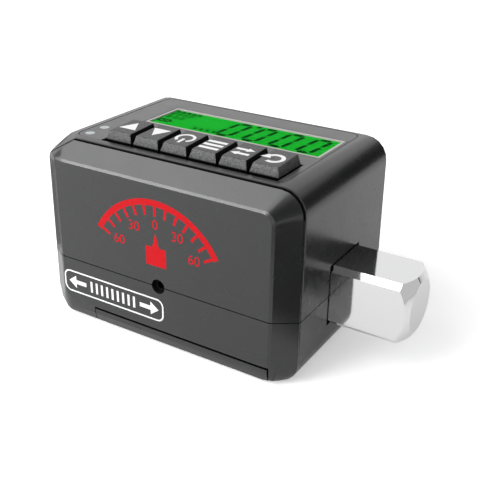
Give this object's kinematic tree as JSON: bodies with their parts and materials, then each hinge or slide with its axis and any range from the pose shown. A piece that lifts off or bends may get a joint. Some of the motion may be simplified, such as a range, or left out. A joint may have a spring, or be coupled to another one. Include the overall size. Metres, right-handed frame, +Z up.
{
  "type": "torque angle gauge",
  "caption": "Digital torque and angle gauge that fits between a drive handle and a socket: moulded housing on a square drive shaft, top display and keys.",
  "frame": {"origin": "middle of the flat bottom, on the battery cover's underside", "axes": "+X along the drive shaft towards the male square, -Y the front face, +Z up"},
  "size_m": [0.114, 0.064, 0.0613],
  "materials": {
    "housing": "fine moulded texture",
    "panel": "matt film",
    "key": "speckled matt",
    "chrome": "bright plated",
    "steel": "plain",
    "pale_grey": "satin",
    "lens_clear": "clear",
    "lcd_green": "green lit display",
    "white_plastic": "plain",
    "black_rubber": "matt",
    "silicone": "matt",
    "board_green": "solder mask",
    "black_plastic": "plain",
    "gauge_foil": "film with metal foil",
    "brass": "plated",
    "battery_sleeve": "plain sleeve"
  },
  "bodies": {
    "housing": {"upper_housing": "housing", "lower_housing": "housing", "housing_screw_1": "steel", "housing_screw_2": "steel", "housing_screw_3": "steel", "housing_screw_4": "steel", "drive_shaft": "chrome", "detent_spring": "steel", "socket_seal": "black_rubber", "drive_seal": "black_rubber", "strain_gauge_top": "gauge_foil", "strain_gauge_front": "gauge_foil", "strain_gauge_bottom": "gauge_foil", "strain_gauge_rear": "gauge_foil", "gauge_terminal": "board_green", "gauge_cable": "black_rubber", "cable_connector": "white_plastic", "display_overlay": "panel", "lcd_bezel": "pale_grey", "lcd_window": "lens_clear", "lcd_glass": "lcd_green", "backlight_guide": "white_plastic", "lcd_strip_front": "silicone", "lcd_strip_rear": "silicone", "lcd_frame": "white_plastic", "keypad_mat": "silicone", "indicator_lens_front": "pale_grey", "indicator_lens_rear": "pale_grey", "indicator_led_front": "white_plastic", "indicator_led_rear": "white_plastic", "main_board": "board_green", "board_screw_1": "steel", "board_screw_2": "steel", "board_screw_3": "steel", "board_screw_4": "steel", "processor_chip": "black_plastic", "amplifier_chip": "black_plastic", "angle_sensor": "black_plastic", "buzzer": "black_plastic", "data_jack": "black_plastic", "jack_board": "board_green", "battery_front": "battery_sleeve", "battery_back": "battery_sleeve", "battery_plate_front_left": "brass", "battery_plate_front_right": "brass", "battery_plate_back_left": "brass", "battery_plate_back_right": "brass", "battery_spring_front": "steel", "battery_spring_back": "steel"},
    "cover": {"battery_cover": "housing", "cover_screw": "steel"},
    "up": {"key_up": "key"},
    "down": {"key_down": "key"},
    "power": {"key_power": "key"},
    "mode": {"key_mode": "key"},
    "units": {"key_units": "key"},
    "clear": {"key_clear": "key"},
    "ball": {"detent_ball": "steel"}
  },
  "joints": [
    {"name": "battery_cover_hinge", "type": "hinge", "parent": "housing", "child": "cover", "pos_m": [-0.0252, 0, 0], "axis": [0, 1, 0], "range_deg": [0, 30]},
    {"name": "up_key_press", "type": "slide", "parent": "housing", "child": "up", "axis": [0, 0, -1], "range_m": [0, 0.0008], "stiffness_N_per_m": 1200, "springref_m": -0.0004},
    {"name": "down_key_press", "type": "slide", "parent": "housing", "child": "down", "axis": [0, 0, -1], "range_m": [0, 0.0008], "stiffness_N_per_m": 1200, "springref_m": -0.0004},
    {"name": "power_key_press", "type": "slide", "parent": "housing", "child": "power", "axis": [0, 0, -1], "range_m": [0, 0.0008], "stiffness_N_per_m": 1200, "springref_m": -0.0004},
    {"name": "mode_key_press", "type": "slide", "parent": "housing", "child": "mode", "axis": [0, 0, -1], "range_m": [0, 0.0008], "stiffness_N_per_m": 1200, "springref_m": -0.0004},
    {"name": "units_key_press", "type": "slide", "parent": "housing", "child": "units", "axis": [0, 0, -1], "range_m": [0, 0.0008], "stiffness_N_per_m": 1200, "springref_m": -0.0004},
    {"name": "clear_key_press", "type": "slide", "parent": "housing", "child": "clear", "axis": [0, 0, -1], "range_m": [0, 0.0008], "stiffness_N_per_m": 1200, "springref_m": -0.0004},
    {"name": "detent_ball_slide", "type": "slide", "parent": "housing", "child": "ball", "axis": [0, -1, 0], "range_m": [0, 0.0013], "stiffness_N_per_m": 3000, "springref_m": -0.0008, "deforming": ["detent_spring"]}
  ]
}
